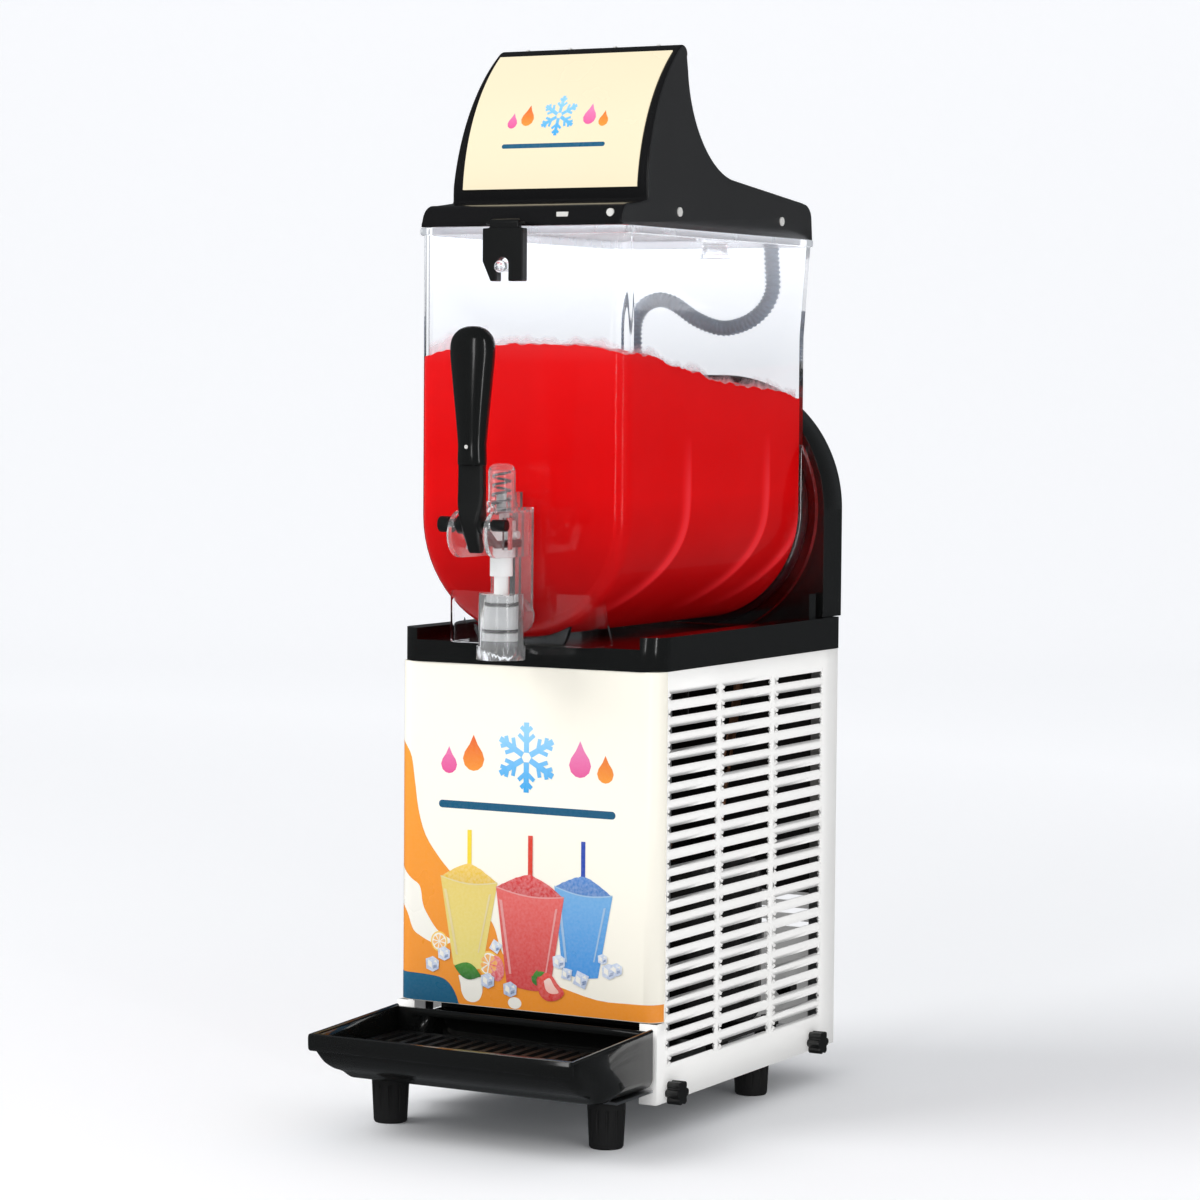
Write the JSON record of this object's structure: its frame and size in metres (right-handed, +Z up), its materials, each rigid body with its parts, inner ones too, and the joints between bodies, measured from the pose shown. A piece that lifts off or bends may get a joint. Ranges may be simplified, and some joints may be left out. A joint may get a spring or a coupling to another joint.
{
  "type": "slushie machine",
  "caption": "Countertop frozen-drink dispenser with a clear bowl, lit lid, lever-operated piston tap, slotted cabinet and scoop-shaped drip tray.",
  "frame": {"origin": "on the floor under the middle of the machine's plan, centred between the tray's lip and the back of the tower", "axes": "+Z up, -Y towards the customer, where the tap is, +X towards the machine's right as the customer sees it"},
  "size_m": [0.252, 0.464, 0.8318],
  "materials": {
    "galvanised": "zinc-plated sheet, satin",
    "rubber": "moulded, dull",
    "cream_panel": "printed, gloss lacquer",
    "white_sheet": "fine powder coat, semi-gloss",
    "black_gloss": "moulded, gloss",
    "black_satin": "moulded, satin",
    "black_enamel": "enamel",
    "lid_black": "vacuum-formed, satin",
    "nickel": "nickel plated",
    "stainless": "brushed",
    "white_plastic": "moulded, semi-gloss",
    "copper": "drawn copper tube",
    "rocker_red": "moulded, gloss",
    "clear_plastic": "clear polycarbonate, gloss",
    "diffuser": "translucent, satin",
    "sign_acrylic": "translucent acrylic, printed",
    "lamp_white": "moulded, satin",
    "hose_grey": "corrugated, satin",
    "slush": "wet granular ice",
    "frost": "frosted ice film",
    "print_orange": "print ink under lacquer",
    "print_teal": "print ink under lacquer",
    "print_yellow": "print ink under lacquer",
    "print_red": "print ink under lacquer",
    "print_blue": "print ink under lacquer",
    "print_green": "print ink under lacquer",
    "print_white": "print ink under lacquer"
  },
  "bodies": {
    "cabinet": {"base_plate": "galvanised", "feet": "rubber", "frame": "galvanised", "front_panel": "cream_panel", "side_panel_left": "white_sheet", "side_panel_right": "white_sheet", "rear_panel": "white_sheet", "tray_recess": "black_satin", "deck": "black_gloss", "tower": "black_gloss", "tower_back_cover": "black_satin", "rear_screws": "nickel", "evaporator_drum": "stainless", "drum_flange": "white_plastic", "bowl_gasket": "rubber", "evaporator_coil": "copper", "shaft_seal": "rubber", "gear_motor": "galvanised", "motor_bracket": "galvanised", "compressor": "black_enamel", "compressor_mounts": "rubber", "condenser": "black_enamel", "fan_shroud": "black_satin", "fan_motor": "galvanised", "filter_drier": "copper", "suction_pipe": "copper", "discharge_pipe": "copper", "control_box": "white_plastic", "switch_bezels": "black_satin", "cable_gland": "black_satin"},
    "knob_front_left": {"knob_front_left": "black_satin"},
    "knob_front_right": {"knob_front_right": "black_satin"},
    "knob_rear_left": {"knob_rear_left": "black_satin"},
    "knob_rear_right": {"knob_rear_right": "black_satin"},
    "tray": {"drip_tray": "black_gloss"},
    "grid": {"drip_grid": "black_satin"},
    "auger": {"drive_shaft": "stainless", "auger_spiral": "white_plastic", "auger_hub": "white_plastic"},
    "fan": {"fan": "black_satin"},
    "power_switch": {"power_rocker": "rocker_red"},
    "light_switch": {"light_rocker": "rocker_red"},
    "bowl": {"bowl": "clear_plastic", "tap_body": "clear_plastic", "tap_cap": "clear_plastic", "tap_spring": "stainless", "lever_pin": "black_satin"},
    "piston": {"tap_piston": "white_plastic", "piston_rings": "rubber"},
    "lever": {"tap_lever": "black_satin", "lever_grip": "black_gloss"},
    "lid": {"lid_shell": "lid_black", "lid_liner": "diffuser", "sign_pane": "sign_acrylic", "lamp_strip": "lamp_white", "lid_fasteners": "nickel", "hose_gland": "black_satin", "lid_hose": "hose_grey", "hose_plug": "black_satin"},
    "latch": {"lid_latch": "black_satin"}
  },
  "joints": [
    {"name": "bowl_slide", "type": "slide", "parent": "cabinet", "child": "bowl", "axis": [0, -1, 0], "range_m": [0, 0.3]},
    {"name": "lid_lift", "type": "slide", "parent": "bowl", "child": "lid", "axis": [0, 0, 1], "range_m": [0, 0.12]},
    {"name": "latch_swing", "type": "hinge", "parent": "lid", "child": "latch", "pos_m": [-0.008, -0.123, 0.691], "axis": [-1, 0, 0], "range_deg": [0, 90]},
    {"name": "lever_pull", "type": "hinge", "parent": "bowl", "child": "lever", "pos_m": [0, -0.184, 0.465], "axis": [1, 0, 0], "range_deg": [0, 16]},
    {"name": "piston_lift", "type": "slide", "parent": "bowl", "child": "piston", "axis": [0, 0, 1], "range_m": [0, 0.0125], "stiffness_N_per_m": 400, "springref_m": -0.02, "deforming": ["tap_spring"]},
    {"name": "tray_slide", "type": "slide", "parent": "cabinet", "child": "tray", "axis": [0, -1, 0], "range_m": [0, 0.12]},
    {"name": "grid_lift", "type": "slide", "parent": "tray", "child": "grid", "axis": [0, 0, 1], "range_m": [0, 0.06]},
    {"name": "auger_spin", "type": "hinge", "parent": "cabinet", "child": "auger", "pos_m": [0, 0, 0.468], "axis": [0, 1, 0], "continuous": true},
    {"name": "fan_spin", "type": "hinge", "parent": "cabinet", "child": "fan", "pos_m": [-0.064, 0.095, 0.18], "axis": [1, 0, 0], "continuous": true},
    {"name": "power_rock", "type": "hinge", "parent": "cabinet", "child": "power_switch", "pos_m": [-0.06, 0.213, 0.3], "axis": [1, 0, 0], "range_deg": [0, 14]},
    {"name": "light_rock", "type": "hinge", "parent": "cabinet", "child": "light_switch", "pos_m": [-0.03, 0.213, 0.3], "axis": [1, 0, 0], "range_deg": [0, 14]},
    {"name": "knob_front_left_turn", "type": "hinge", "parent": "cabinet", "child": "knob_front_left", "pos_m": [-0.12, -0.077, 0.033], "axis": [-1, 0, 0], "continuous": true},
    {"name": "knob_front_right_turn", "type": "hinge", "parent": "cabinet", "child": "knob_front_right", "pos_m": [0.12, -0.077, 0.033], "axis": [1, 0, 0], "continuous": true},
    {"name": "knob_rear_left_turn", "type": "hinge", "parent": "cabinet", "child": "knob_rear_left", "pos_m": [-0.12, 0.173, 0.033], "axis": [-1, 0, 0], "continuous": true},
    {"name": "knob_rear_right_turn", "type": "hinge", "parent": "cabinet", "child": "knob_rear_right", "pos_m": [0.12, 0.173, 0.033], "axis": [1, 0, 0], "continuous": true}
  ],
  "couplings": [
    {"joint": "piston_lift", "follows": "lever_pull", "m_per_rad": 0.044}
  ]
}
